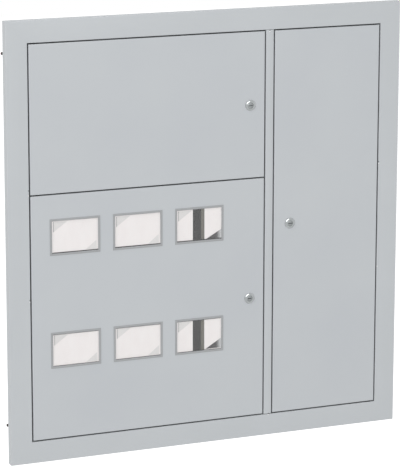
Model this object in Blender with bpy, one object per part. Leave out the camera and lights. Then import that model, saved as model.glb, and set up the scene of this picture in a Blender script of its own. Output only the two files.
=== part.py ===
"""Flush mounted storey distribution board for a wall niche, in metres.

The origin is the centre of the casing's rear face. X runs to the right, Y into the wall and Z up.
Depths are measured from the front plane towards the wall, so the front plane is at y = -BOARD_D.
A folded frame with a door post closes a shallow sheet casing. Three doors turn on pins beside
their outer edges, and each is held by a cam lock whose cam turns behind the lip of the door post.
"""
import math

import bmesh
import bpy
from mathutils import Vector

# Driving dimensions
BOARD_W = 0.950
BOARD_H = 1.000
BOARD_D = 0.140
SHEET = 0.0012
THIN = 0.0010
CLEAR = 0.0003
BEND_IN = 0.0003
OVER = 0.0015

# Faces round the turned and bent shapes
BEND_STEPS = 3
PIN_STEPS = 16
TIE_STEPS = 20
LOCK_STEPS = 32
NUT_STEPS = 36
NUT_CORNERS = 6
SCREW_STEPS = 24
CAM_STEPS = 12
HOLE_STEPS = 12
SHARP_ANGLE = math.radians(35)

# Front frame and the door post, as depths and widths
BORDER = 0.0495
GAP = 0.003
RIM_DEEP = 0.020
STOP_DEEP = 0.022
LIP = 0.014
POST_FACE = 0.019
POST_SHARE = 0.350
MID_SHARE = 0.249

# Doors, hinges and their pins
DOOR_DEEP = 0.0115
PIVOT_IN = 0.010
PIVOT_DEEP = 0.006
PIN_R = 0.0025
PIN_REACH = 0.008
COLLAR_R = 0.0042
BRACKET_SIDE = 0.0072
BRACKET_LEG = 0.028
BRACKET_FRONT = 0.0018

# Windows of the meter door
WINDOW_COLUMN_SHARES = (0.1838, 0.4496, 0.7156)
WINDOW_ROW_SHARES = (0.8286, 0.3655)
WINDOW_W = 0.1082
WINDOW_H = 0.0728
SEAL_LIP = 0.005
SEAL_FACE = 0.0009
SEAL_HOLD = 0.0012
SEAL_WEB = 0.0005

# Cam locks
LOCK_IN_LEFT = 0.035
LOCK_IN_RIGHT = 0.040
RING_R = 0.0123
RING_PROUD = 0.0027
RING_DOME = ((0, 0.55), (0.25, 0.9), (0.5, 1), (0.78, 0.82), (0.94, 0.5))
PLUG_PROUD = 0.00135
PLUG_EDGE = 0.0005
BARREL_R = 0.00925
PLUG_R = 0.0063
KEY_LONG = 0.0084
KEY_WIDE = 0.0017
KEY_DEEP = 0.009
SQUARE = 0.0035
CAM_T = 0.0020
CAM_HALF = 0.0075
CAM_HEAD = 0.0088
CAM_OVERLAP = 0.008
NUT_HALF = 0.012
NUT_T = 0.004
SCREW_R = 0.0048
SCREW_HEAD = 0.0022
SCREW_CROWN = 0.0009
SCREW_TOP_R = 0.0034
CAM_NOSE = 0.003
SCREW_SHANK_R = 0.0017
SCREW_LONG = 0.007

# Casing, dividers and wall ties
PLATE_FLANGE = 0.016
ENTRY_LONG = 0.110
ENTRY_WIDE = 0.045
ENTRY_SHARES = (-0.62, -0.10, 0.66)
WALL_FRONT = 0.027
WALL_FLANGE = 0.016
PASS_HIGH = 0.070
PASS_WIDE = 0.050
PASS_SHARES = (0.62, -0.55)
SHELF_FLANGE = 0.024
SLOT_LONG = 0.300
SLOT_WIDE = 0.040
TIE_R = 0.0035
TIE_HEAD_R = 0.0065
TIE_HEAD = 0.004
TIE_DEEP = 0.057
TIE_FROM_END = 0.0777
TIE_SHORT = 0.0085

# Equipment inside
RAIL_BACK = 0.104
RAIL_T = 0.0010
RAIL_WIDE = 0.035
RAIL_BASE = 0.025
RAIL_TALL = 0.0075
RAIL_SHARES = (0.30, 0.72)
RAIL_FROM_SIDE = 0.040
RAIL_FROM_POST = 0.110
RAIL_SLOT_LONG = 0.015
RAIL_SLOT_WIDE = 0.0055
RAIL_SLOTS = 7
UPRIGHT_T = 0.0015
UPRIGHT_FLANGE = 0.020
UPRIGHT_MARGIN = 0.035
METER_PLATE_GAP = 0.0186
METER_PLATE_TALL = 0.022
METER_MARGIN = 0.030
METER_SLOT_LONG = 0.070
METER_SLOT_WIDE = 0.007
METER_SLOT_OUT = 0.038
SERVICE_MARGIN_X = 0.026
SERVICE_MARGIN_Z = 0.080
SERVICE_SLOT_LONG = 0.044
SERVICE_SLOT_WIDE = 0.008
SERVICE_COLUMNS = 3
SERVICE_ROWS = 7
BAR_SIDE = 0.009
BAR_LONG = 0.200
BAR_FROM_WALL = (0.066, 0.036)
BAR_HOLE_R = 0.0026
BAR_HOLE_DEEP = 0.005
BAR_HOLES = 8
HOLDER_SIDE = 0.016
HOLDER_TALL = 0.022
HOLDER_GRIP = 0.004
HOLDER_END = 0.012

# Places that follow from the sizes above
INNER_X = BOARD_W / 2 - BORDER
INNER_Z = BOARD_H / 2 - BORDER
CASE_X = INNER_X + SHEET + CLEAR
CASE_Z = INNER_Z + SHEET + CLEAR
CASE_FRONT = SHEET + CLEAR
CASE_REAR = BOARD_D - THIN - CLEAR
POST_X = INNER_X * POST_SHARE
POST_LEFT = POST_X - POST_FACE / 2
POST_RIGHT = POST_X + POST_FACE / 2
MID_Z = INNER_Z * MID_SHARE
PIVOT_LEFT = -INNER_X + GAP + PIVOT_IN
PIVOT_RIGHT = INNER_X - GAP - PIVOT_IN
BRACKET_T = GAP - 2 * CLEAR
CAM_DEEP = STOP_DEEP + 2 * CLEAR
BARREL_END = STOP_DEEP - CLEAR
SQUARE_END = CAM_DEEP + CAM_T + CLEAR

PAINTS = {
    "casing paint": ((0.74, 0.76, 0.77), 0.45, 0.0),
    "door paint": ((0.76, 0.78, 0.79), 0.42, 0.0),
    "galvanised steel": ((0.62, 0.63, 0.64), 0.38, 1.0),
    "nickel plate": ((0.70, 0.69, 0.66), 0.22, 1.0),
    "dark plug": ((0.42, 0.41, 0.40), 0.30, 1.0),
    "zinc steel": ((0.50, 0.50, 0.50), 0.35, 1.0),
    "seal rubber": ((0.60, 0.61, 0.62), 0.70, 0.0),
    "clear acrylic": ((0.90, 0.90, 0.89), 0.08, 0.0),
    "mounting plate paint": ((0.80, 0.80, 0.78), 0.50, 0.0),
    "brass": ((0.72, 0.55, 0.26), 0.30, 1.0),
    "blue plastic": ((0.05, 0.22, 0.60), 0.40, 0.0),
    "green plastic": ((0.10, 0.42, 0.16), 0.40, 0.0),
}


def clear_scene():
    """Remove whatever objects the file starts with."""
    for item in list(bpy.data.objects):
        bpy.data.objects.remove(item, do_unlink=True)


def paint_of(name):
    """The material of that name, made once."""
    if name in bpy.data.materials:
        return bpy.data.materials[name]
    colour, rough, metal = PAINTS[name]
    paint = bpy.data.materials.new(name)
    paint.use_nodes = True
    shader = paint.node_tree.nodes["Principled BSDF"]
    shader.inputs["Base Color"].default_value = (*colour, 1.0)
    shader.inputs["Roughness"].default_value = rough
    shader.inputs["Metallic"].default_value = metal
    return paint


def at(depth):
    """The y of a depth behind the front plane."""
    return depth - BOARD_D


def solid(name, points, faces, paint, origin=(0, 0, 0)):
    """One closed body whose object origin is the given point."""
    base = Vector(origin)
    mesh = bpy.data.meshes.new(name)
    mesh.from_pydata([Vector(point) - base for point in points], [], faces)
    shape = bmesh.new()
    shape.from_mesh(mesh)
    bmesh.ops.recalc_face_normals(shape, faces=shape.faces)
    shape.to_mesh(mesh)
    shape.free()
    if paint:
        mesh.materials.append(paint_of(paint))
        mesh.shade_smooth()
        mesh.set_sharp_from_angle(angle=SHARP_ANGLE)
    piece = bpy.data.objects.new(name, mesh)
    piece.location = base
    bpy.context.collection.objects.link(piece)
    return piece


def strip_faces(rows, count, closed):
    """Quads between successive loops of equal length, with flat caps when the rows are open."""
    faces = []
    pairs = rows if closed else rows - 1
    for row in range(pairs):
        low = row * count
        high = (row + 1) % rows * count
        for step in range(count):
            after = (step + 1) % count
            faces.append((low + step, low + after, high + after, high + step))
    if not closed:
        faces.append(tuple(range(count)))
        faces.append(tuple(range((rows - 1) * count, rows * count)))
    return faces


def turned_corner(before, corner, after, radius):
    """Points of the arc that rounds one corner of a centre line."""
    into = (before - corner).normalized()
    out = (after - corner).normalized()
    half = into.angle(out) / 2
    middle = corner + (into + out).normalized() * radius / math.sin(half)
    start = corner + into * radius / math.tan(half) - middle
    end = corner + out * radius / math.tan(half) - middle
    first = math.atan2(start.y, start.x)
    turn = math.atan2(end.y, end.x) - first
    turn = math.remainder(turn, 2 * math.pi)
    arc = []
    for step in range(BEND_STEPS + 1):
        angle = first + turn * step / BEND_STEPS
        arc.append(middle + radius * Vector((math.cos(angle), math.sin(angle))))
    return arc


def sheet_sides(path, thick):
    """Both faces of a folded sheet whose centre line is the path, with rounded bends."""
    path = [Vector(point) for point in path]
    line = [path[0]]
    for before, corner, after in zip(path, path[1:], path[2:]):
        line += turned_corner(before, corner, after, thick / 2 + BEND_IN)
    line.append(path[-1])
    one_side = []
    other_side = []
    for step, point in enumerate(line):
        ahead = line[min(step + 1, len(line) - 1)] - line[min(step, len(line) - 2)]
        behind = line[max(step, 1)] - line[max(step - 1, 0)]
        along = (ahead.normalized() + behind.normalized()).normalized()
        stretch = thick / 2 / along.dot(ahead.normalized())
        across = Vector((-along.y, along.x)) * stretch
        one_side.append(point + across)
        other_side.append(point - across)
    return one_side, other_side


def sheet_outline(path, thick):
    """Closed outline of a folded sheet."""
    one_side, other_side = sheet_sides(path, thick)
    return one_side + other_side[::-1]


def prism(name, outline, axis, low, high, paint, origin=(0, 0, 0)):
    """An outline pushed along one axis: (y, z) along X, (x, z) along Y or (x, y) along Z."""
    points = []
    for end in (low, high):
        for a, b in outline:
            spot = {"X": (end, a, b), "Y": (a, end, b), "Z": (a, b, end)}[axis]
            points.append(spot)
    return solid(name, points, strip_faces(2, len(outline), False), paint, origin)


def block(name, low, high, paint, origin=(0, 0, 0)):
    """A plain box between two corners."""
    outline = ((low[0], low[1]), (high[0], low[1]), (high[0], high[1]), (low[0], high[1]))
    return prism(name, outline, "Z", low[2], high[2], paint, origin)


def around(name, section, low, high, closed, paint, origin=(0, 0, 0)):
    """A section of (inset, depth) points carried round a rectangle with mitred corners."""
    points = []
    for inset, depth in section:
        left, right = low[0] + inset, high[0] - inset
        bottom, top = low[1] + inset, high[1] - inset
        for x, z in ((left, bottom), (right, bottom), (right, top), (left, top)):
            points.append((x, at(depth), z))
    return solid(name, points, strip_faces(len(section), 4, closed), paint, origin)


def pan(name, low, high, front, deep, thick, paint, origin=(0, 0, 0)):
    """A flat tray with its face at the front and a flange folded back on all four sides."""
    face = front + thick / 2
    edge = thick / 2
    path = ((edge, front + deep), (edge, face), (thick * 5, face))
    one_side, other_side = sheet_sides(path, thick)
    return around(name, one_side[::-1] + other_side, low, high, False, paint, origin)


def spun(name, loops, centre, axis, steps, closed, paint, origin=(0, 0, 0)):
    """Loops of (radius, distance) round an axis; a radius may be a function of the angle."""
    points = []
    for radius, along in loops:
        for step in range(steps):
            angle = 2 * math.pi * step / steps
            reach = radius(angle) if callable(radius) else radius
            a = reach * math.cos(angle)
            b = reach * math.sin(angle)
            spot = {"X": (along, a, b), "Y": (a, along, b), "Z": (a, b, along)}[axis]
            points.append(Vector(centre) + Vector(spot))
    return solid(name, points, strip_faces(len(loops), steps, closed), paint, origin)


def polygon_radius(half, corners):
    """Radius of a regular polygon with that half width across its flats, by angle."""
    wedge = 2 * math.pi / corners

    def radius(angle):
        return half / math.cos((angle + wedge / 2) % wedge - wedge / 2)

    return radius


def square_radius(half):
    """Radius of a square whose corners lie at 45 degrees, by angle."""
    return lambda angle: half / max(abs(math.cos(angle)), abs(math.sin(angle)))


def cut(piece, boxes=(), rods=()):
    """Take boxes and round rods, which don't meet each other, out of a piece."""
    points = []
    faces = []
    for low, high in boxes:
        base = len(points)
        for z in (low[2], high[2]):
            for x, y in ((low[0], low[1]), (high[0], low[1]), (high[0], high[1]), (low[0], high[1])):
                points.append((x, y, z))
        faces += [tuple(base + number for number in face) for face in strip_faces(2, 4, False)]
    for centre, axis, radius, low, high, steps in rods:
        base = len(points)
        for along in (low, high):
            for step in range(steps):
                angle = 2 * math.pi * step / steps
                a = radius * math.cos(angle)
                b = radius * math.sin(angle)
                spot = {"X": (along, centre[0] + a, centre[1] + b),
                        "Y": (centre[0] + a, along, centre[1] + b),
                        "Z": (centre[0] + a, centre[1] + b, along)}[axis]
                points.append(spot)
        faces += [tuple(base + number for number in face) for face in strip_faces(2, steps, False)]
    cutter = solid("cutter." + piece.name, points, faces, None)
    cutter.hide_render = True
    cutter.display_type = "WIRE"
    change = piece.modifiers.new("cut", "BOOLEAN")
    change.operation = "DIFFERENCE"
    change.solver = "EXACT"
    change.object = cutter


def front_frame():
    """Border of folded sheet: outer rim, face, inner return and the lip the doors close on."""
    half = SHEET / 2
    path = ((half, RIM_DEEP), (half, half), (BORDER - half, half),
            (BORDER - half, STOP_DEEP - half), (BORDER + LIP, STOP_DEEP - half))
    low = (-BOARD_W / 2, -BOARD_H / 2)
    high = (BOARD_W / 2, BOARD_H / 2)
    frame = around("front_frame", sheet_outline(path, SHEET), low, high, True, "casing paint")
    rods = []
    for x in (PIVOT_LEFT, PIVOT_RIGHT):
        for side in (-1, 1):
            ends = sorted((side * (INNER_Z - OVER), side * (INNER_Z + SHEET + OVER)))
            rods.append(((x, at(PIVOT_DEEP)), "Z", PIN_R + CLEAR, ends[0], ends[1], PIN_STEPS))
    cut(frame, rods=rods)


def door_post():
    """Hat shaped post between the left doors and the right one, with a lip for each."""
    half = SHEET / 2
    rear = STOP_DEEP - half
    path = [(POST_LEFT - LIP, rear), (POST_LEFT + half, rear), (POST_LEFT + half, half),
            (POST_RIGHT - half, half), (POST_RIGHT - half, rear), (POST_RIGHT + LIP, rear)]
    path = [(x, at(depth)) for x, depth in path]
    top = INNER_Z - CLEAR
    post = prism("door_post", sheet_outline(path, SHEET), "Z", -top, top, "casing paint")
    boxes = []
    notch = INNER_Z - LIP - CLEAR
    for side in (-1, 1):
        ends = sorted((side * notch, side * (INNER_Z + OVER)))
        low = (POST_LEFT - LIP - OVER, at(STOP_DEEP - SHEET - CLEAR), ends[0])
        high = (POST_RIGHT + LIP + OVER, at(STOP_DEEP + OVER), ends[1])
        boxes.append((low, high))
    cut(post, boxes=boxes)


def casing():
    """Back and both side walls in one folded sheet."""
    half = THIN / 2
    side = CASE_X + half
    back = BOARD_D - half
    path = [(-side, CASE_FRONT), (-side, back), (side, back), (side, CASE_FRONT)]
    path = [(x, at(depth)) for x, depth in path]
    top = CASE_Z + THIN
    shell = prism("casing", sheet_outline(path, THIN), "Z", -top, top, "casing paint")
    rods = []
    for z in tie_heights():
        for side in (-1, 1):
            ends = sorted((side * (CASE_X - OVER), side * (CASE_X + THIN + OVER)))
            rods.append(((at(TIE_DEEP), z), "X", TIE_R + CLEAR, ends[0], ends[1], TIE_STEPS))
    cut(shell, rods=rods)


def end_plate(name, side):
    """Top or bottom of the casing, with side flanges and three cable entries."""
    half = THIN / 2
    reach = CASE_X - CLEAR - half
    level = side * (CASE_Z + half)
    fold = side * (CASE_Z + half - PLATE_FLANGE)
    path = ((-reach, fold), (-reach, level), (reach, level), (reach, fold))
    front = at(STOP_DEEP + CLEAR)
    plate = prism(name, sheet_outline(path, THIN), "Y", front, at(CASE_REAR), "casing paint")
    boxes = []
    middle = (STOP_DEEP + CASE_REAR) / 2
    ends = sorted((side * (CASE_Z - OVER), side * (CASE_Z + THIN + OVER)))
    for share in ENTRY_SHARES:
        x = share * CASE_X
        low = (x - ENTRY_LONG / 2, at(middle - ENTRY_WIDE / 2), ends[0])
        high = (x + ENTRY_LONG / 2, at(middle + ENTRY_WIDE / 2), ends[1])
        boxes.append((low, high))
    cut(plate, boxes=boxes)


def compartment_wall():
    """Divider behind the post, flanged to the right at front and rear, with two openings."""
    half = THIN / 2
    web = POST_X
    path = [(web + WALL_FLANGE, WALL_FRONT + half), (web, WALL_FRONT + half),
            (web, CASE_REAR - half), (web + WALL_FLANGE, CASE_REAR - half)]
    path = [(x, at(depth)) for x, depth in path]
    top = CASE_Z - CLEAR
    wall = prism("compartment_wall", sheet_outline(path, THIN), "Z", -top, top, "casing paint")
    boxes = []
    middle = (WALL_FRONT + CASE_REAR) / 2
    for share in PASS_SHARES:
        z = share * INNER_Z
        low = (web - OVER, at(middle - PASS_WIDE / 2), z - PASS_HIGH / 2)
        high = (web + OVER, at(middle + PASS_WIDE / 2), z + PASS_HIGH / 2)
        boxes.append((low, high))
    cut(wall, boxes=boxes)


def meter_shelf():
    """Divider between the two left compartments; its front flange shows in the middle gap."""
    half = THIN / 2
    front = STOP_DEEP + CLEAR + half
    path = [(front, MID_Z - SHELF_FLANGE), (front, MID_Z),
            (CASE_REAR - half, MID_Z), (CASE_REAR - half, MID_Z - SHELF_FLANGE)]
    path = [(at(depth), z) for depth, z in path]
    left = -(CASE_X - CLEAR)
    right = POST_X - half - CLEAR
    shelf = prism("meter_shelf", sheet_outline(path, THIN), "X", left, right, "casing paint")
    x = (left + right) / 2
    deep = CASE_REAR - SLOT_WIDE
    low = (x - SLOT_LONG / 2, at(deep - SLOT_WIDE / 2), MID_Z - OVER)
    high = (x + SLOT_LONG / 2, at(deep + SLOT_WIDE / 2), MID_Z + OVER)
    cut(shelf, boxes=[(low, high)])


def door_spans():
    """Low and high corners, hinge x and lock centre of each door."""
    left = -INNER_X + GAP
    left_end = POST_LEFT - GAP
    right = POST_RIGHT + GAP
    right_end = INNER_X - GAP
    top = INNER_Z - GAP
    mid_up = MID_Z + GAP / 2
    mid_down = MID_Z - GAP / 2
    lock_left = left_end - LOCK_IN_LEFT
    lock_right = right + LOCK_IN_RIGHT
    return {
        "upper": ((left, mid_up), (left_end, top), PIVOT_LEFT, (lock_left, (mid_up + top) / 2)),
        "meter": ((left, -top), (left_end, mid_down), PIVOT_LEFT, (lock_left, (mid_down - top) / 2)),
        "service": ((right, -top), (right_end, top), PIVOT_RIGHT, (lock_right, 0)),
    }


def hinge_of(key):
    """A point on the door's hinge axis at the middle of its height."""
    low, high, pivot, _ = door_spans()[key]
    return (pivot, at(PIVOT_DEEP), (low[1] + high[1]) / 2)


def window_centres():
    """Centres of the six windows, row by row from the top left."""
    low, high, _, _ = door_spans()["meter"]
    wide = high[0] - low[0]
    tall = high[1] - low[1]
    centres = []
    for row in WINDOW_ROW_SHARES:
        for column in WINDOW_COLUMN_SHARES:
            centres.append((low[0] + column * wide, low[1] + row * tall))
    return centres


def door(key):
    """One door tray with its holes for the hinge pins, the lock and any windows."""
    low, high, pivot, lock = door_spans()[key]
    tray = pan(key + "_door", low, high, 0, DOOR_DEEP, SHEET, "door paint", hinge_of(key))
    rods = [(lock_spot(lock), "Y", BARREL_R + CLEAR, at(-OVER), at(SHEET + OVER), LOCK_STEPS)]
    for edge, side in ((low[1], 1), (high[1], -1)):
        ends = sorted((edge - side * OVER, edge + side * (SHEET + OVER)))
        rods.append(((pivot, at(PIVOT_DEEP)), "Z", PIN_R + CLEAR, ends[0], ends[1], PIN_STEPS))
    boxes = []
    if key == "meter":
        hole_x = WINDOW_W / 2 + SEAL_HOLD + SEAL_WEB + 2 * CLEAR
        hole_z = WINDOW_H / 2 + SEAL_HOLD + SEAL_WEB + 2 * CLEAR
        for x, z in window_centres():
            boxes.append(((x - hole_x, at(-OVER), z - hole_z), (x + hole_x, at(SHEET + OVER), z + hole_z)))
    cut(tray, boxes=boxes, rods=rods)


def lock_spot(lock):
    """The lock's axis as an (x, z) pair."""
    return (lock[0], lock[1])


def window(number, x, z):
    """A clear pane held by a rubber section that also grips the edge of the door sheet."""
    half_x = WINDOW_W / 2
    half_z = WINDOW_H / 2
    inner = SEAL_LIP
    web_in = SEAL_LIP - SEAL_HOLD - CLEAR
    web_out = web_in - SEAL_WEB
    front = -CLEAR
    rear = SHEET + CLEAR
    section = ((0, front - SEAL_FACE), (inner, front - SEAL_FACE), (inner, front), (web_in, front),
               (web_in, rear), (inner, rear), (inner, rear + SEAL_FACE), (0, rear + SEAL_FACE),
               (0, rear), (web_out, rear), (web_out, front), (0, front))
    low = (x - half_x - SEAL_LIP, z - half_z - SEAL_LIP)
    high = (x + half_x + SEAL_LIP, z + half_z + SEAL_LIP)
    hinge = hinge_of("meter")
    around("window_seal_%d" % number, section, low, high, True, "seal rubber", hinge)
    low = (x - half_x - SEAL_HOLD, at(0), z - half_z - SEAL_HOLD)
    high = (x + half_x + SEAL_HOLD, at(SHEET), z + half_z + SEAL_HOLD)
    block("window_pane_%d" % number, low, high, "clear acrylic", hinge)


def lock(key):
    """Barrel with a domed ring, its nut, and the turning plug with cam and screw."""
    x, z = door_spans()[key][3]
    hinge = hinge_of(key)
    bore = PLUG_R + CLEAR
    axis_point = (x, at(0), z)
    body = [(bore + (RING_R - bore) * across, -RING_PROUD * up) for across, up in RING_DOME]
    body += [(RING_R, -CLEAR), (BARREL_R, -CLEAR), (BARREL_R, BARREL_END), (bore, BARREL_END)]
    spun("lock_body_" + key, body, axis_point, "Y", LOCK_STEPS, True, "nickel plate", hinge)
    inside = BARREL_R + CLEAR
    near = SHEET + CLEAR
    far = near + NUT_T
    flats = polygon_radius(NUT_HALF, NUT_CORNERS)
    nut = ((inside, near), (flats, near), (flats, far), (inside, far))
    spun("lock_nut_" + key, nut, axis_point, "Y", NUT_STEPS, True, "zinc steel", hinge)
    drive = square_radius(SQUARE)
    face = -PLUG_PROUD
    shoulder = BARREL_END + CLEAR
    loops = ((PLUG_R - PLUG_EDGE, face), (PLUG_R, face + PLUG_EDGE), (PLUG_R, shoulder),
             (drive, shoulder), (drive, SQUARE_END))
    plug = spun("lock_plug_" + key, loops, axis_point, "Y", LOCK_STEPS, False, "dark plug", axis_point)
    low = (x - KEY_LONG / 2, at(face - OVER), z - KEY_WIDE / 2)
    high = (x + KEY_LONG / 2, at(face + KEY_DEEP), z + KEY_WIDE / 2)
    hole = SCREW_SHANK_R + CLEAR
    shank_tip = SQUARE_END - SCREW_LONG
    rod = ((x, z), "Y", hole, at(shank_tip - CLEAR), at(SQUARE_END + OVER), PIN_STEPS)
    cut(plug, boxes=[(low, high)], rods=[rod])
    cam(key, x, z)
    head_near = SQUARE_END + CLEAR
    screw = ((SCREW_SHANK_R, shank_tip), (SCREW_SHANK_R, head_near), (SCREW_R, head_near),
             (SCREW_R, head_near + SCREW_HEAD - SCREW_CROWN), (SCREW_TOP_R, head_near + SCREW_HEAD))
    spun("cam_screw_" + key, screw, axis_point, "Y", SCREW_STEPS, False, "zinc steel", axis_point)


def cam(key, x, z):
    """Flat latch that hangs down when unlocked and turns a quarter behind the post's lip."""
    edge = POST_LEFT - LIP if key != "service" else POST_RIGHT + LIP
    reach = abs(edge - x) + CAM_OVERLAP
    outline = []
    for step in range(CAM_STEPS + 1):
        angle = math.pi * step / CAM_STEPS
        outline.append((x + CAM_HEAD * math.cos(angle), z + CAM_HEAD * math.sin(angle)))
    outline += [(x - CAM_HALF, z - CAM_HEAD), (x - CAM_HALF, z - reach + CAM_NOSE),
                (x - CAM_HALF + CAM_NOSE, z - reach), (x + CAM_HALF - CAM_NOSE, z - reach),
                (x + CAM_HALF, z - reach + CAM_NOSE), (x + CAM_HALF, z - CAM_HEAD)]
    axis_point = (x, at(0), z)
    front = at(CAM_DEEP)
    rear = at(CAM_DEEP + CAM_T)
    latch = prism("lock_cam_" + key, outline, "Y", front, rear, "zinc steel", axis_point)
    half = SQUARE + CLEAR
    cut(latch, boxes=[((x - half, front - OVER, z - half), (x + half, rear + OVER, z + half))])


def edge_pin(name, x, side):
    """Hinge pin with a collar, between the frame's return and the door's end flange."""
    top = INNER_Z + SHEET - CLEAR
    under = INNER_Z - CLEAR
    rest = INNER_Z - GAP + CLEAR
    tip = INNER_Z - GAP - PIN_REACH
    loops = [(PIN_R, side * top), (PIN_R, side * under), (COLLAR_R, side * under),
             (COLLAR_R, side * rest), (PIN_R, side * rest), (PIN_R, side * tip)]
    spun(name, loops, (x, at(PIVOT_DEEP), 0), "Z", PIN_STEPS, False, "zinc steel")


def centre_hinge():
    """Folded bracket in the middle gap and the pin that both left doors share."""
    half = BRACKET_T / 2
    back = STOP_DEEP - SHEET - CLEAR - half
    path = ((at(BRACKET_FRONT), MID_Z), (at(back), MID_Z), (at(back), MID_Z - BRACKET_LEG))
    left = PIVOT_LEFT - BRACKET_SIDE
    right = PIVOT_LEFT + BRACKET_SIDE
    outline = sheet_outline(path, BRACKET_T)
    bracket = prism("hinge_bracket", outline, "X", left, right, "zinc steel")
    spot = (PIVOT_LEFT, at(PIVOT_DEEP))
    cut(bracket, rods=[(spot, "Z", PIN_R + CLEAR, MID_Z - half - OVER, MID_Z + half + OVER, PIN_STEPS)])
    reach = GAP / 2 + PIN_REACH
    loops = ((PIN_R, MID_Z - reach), (PIN_R, MID_Z + reach))
    spun("hinge_pin_centre", loops, (PIVOT_LEFT, at(PIVOT_DEEP), 0), "Z", PIN_STEPS, False, "zinc steel")


def tie_heights():
    """Heights of the wall ties."""
    return (-(BOARD_H / 2 - TIE_FROM_END), BOARD_H / 2 - TIE_FROM_END)


def wall_ties():
    """Headed rods through the side walls that are built into the sides of the niche."""
    for name_z, z in zip(("low", "high"), tie_heights()):
        for name_x, side in (("left", -1), ("right", 1)):
            head = CASE_X - CLEAR
            end = BOARD_W / 2 - TIE_SHORT
            loops = ((TIE_HEAD_R, side * (head - TIE_HEAD)), (TIE_HEAD_R, side * head),
                     (TIE_R, side * head), (TIE_R, side * end))
            spun("wall_tie_%s_%s" % (name_x, name_z), loops, (0, at(TIE_DEEP), z), "X", TIE_STEPS, False,
                 "zinc steel")


def breaker_rails():
    """Two uprights on the back wall and two top hat rails across them."""
    low_z = MID_Z + UPRIGHT_MARGIN
    high_z = INNER_Z - UPRIGHT_MARGIN
    left = -INNER_X + RAIL_FROM_SIDE
    right = POST_X - RAIL_FROM_POST
    half = UPRIGHT_T / 2
    back = CASE_REAR - half
    front = RAIL_BACK + half
    for name, x in (("left", left + UPRIGHT_FLANGE), ("right", right - UPRIGHT_FLANGE * 3)):
        web = x + UPRIGHT_FLANGE
        path = [(x, back), (web, back), (web, front), (web + UPRIGHT_FLANGE, front)]
        path = [(spot, at(depth)) for spot, depth in path]
        prism("rail_upright_" + name, sheet_outline(path, UPRIGHT_T), "Z", low_z, high_z, "galvanised steel")
    base = RAIL_BACK - CLEAR - RAIL_T / 2
    crown = base - RAIL_TALL + RAIL_T
    for name, share in zip(("low", "high"), RAIL_SHARES):
        z = low_z + share * (high_z - low_z)
        inner = RAIL_BASE / 2
        outer = RAIL_WIDE / 2
        path = [(crown, z - outer), (crown, z - inner), (base, z - inner),
                (base, z + inner), (crown, z + inner), (crown, z + outer)]
        path = [(at(depth), spot) for depth, spot in path]
        rail = prism("din_rail_" + name, sheet_outline(path, RAIL_T), "X", left, right, "galvanised steel")
        boxes = []
        for slot in range(RAIL_SLOTS):
            x = left + (2 * slot + 1) * (right - left) / (2 * RAIL_SLOTS)
            boxes.append(((x - RAIL_SLOT_LONG / 2, at(base - OVER), z - RAIL_SLOT_WIDE / 2),
                          (x + RAIL_SLOT_LONG / 2, at(base + OVER), z + RAIL_SLOT_WIDE / 2)))
        cut(rail, boxes=boxes)


def meter_plates():
    """A mounting plate behind each column of windows, slotted for two meters."""
    low_z = -INNER_Z + METER_MARGIN
    high_z = MID_Z - METER_MARGIN
    front = CASE_REAR - METER_PLATE_TALL
    centres = window_centres()
    half = (centres[1][0] - centres[0][0] - METER_PLATE_GAP) / 2
    for number in range(len(WINDOW_COLUMN_SHARES)):
        x = centres[number][0]
        low = (x - half, low_z)
        high = (x + half, high_z)
        plate = pan("meter_plate_%d" % (number + 1), low, high, front, METER_PLATE_TALL, THIN,
                    "mounting plate paint")
        boxes = []
        for _, z in (centres[0], centres[-1]):
            for side in (-1, 1):
                spot = x + side * METER_SLOT_OUT
                low = (spot - METER_SLOT_WIDE / 2, at(front - OVER), z - METER_SLOT_LONG)
                high = (spot + METER_SLOT_WIDE / 2, at(front + THIN + OVER), z)
                boxes.append((low, high))
        cut(plate, boxes=boxes)


def service_plate():
    """Slotted mounting plate of the right compartment."""
    front = CASE_REAR - METER_PLATE_TALL
    low = (POST_X + WALL_FLANGE + SERVICE_MARGIN_X, -INNER_Z + SERVICE_MARGIN_Z)
    high = (INNER_X - SERVICE_MARGIN_X, INNER_Z - SERVICE_MARGIN_Z)
    plate = pan("service_plate", low, high, front, METER_PLATE_TALL, THIN, "mounting plate paint")
    boxes = []
    for column in range(SERVICE_COLUMNS):
        x = low[0] + (2 * column + 1) * (high[0] - low[0]) / (2 * SERVICE_COLUMNS)
        for row in range(SERVICE_ROWS):
            z = low[1] + (2 * row + 1) * (high[1] - low[1]) / (2 * SERVICE_ROWS)
            boxes.append(((x - SERVICE_SLOT_LONG / 2, at(front - OVER), z - SERVICE_SLOT_WIDE / 2),
                          (x + SERVICE_SLOT_LONG / 2, at(front + THIN + OVER), z + SERVICE_SLOT_WIDE / 2)))
    cut(plate, boxes=boxes)


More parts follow.
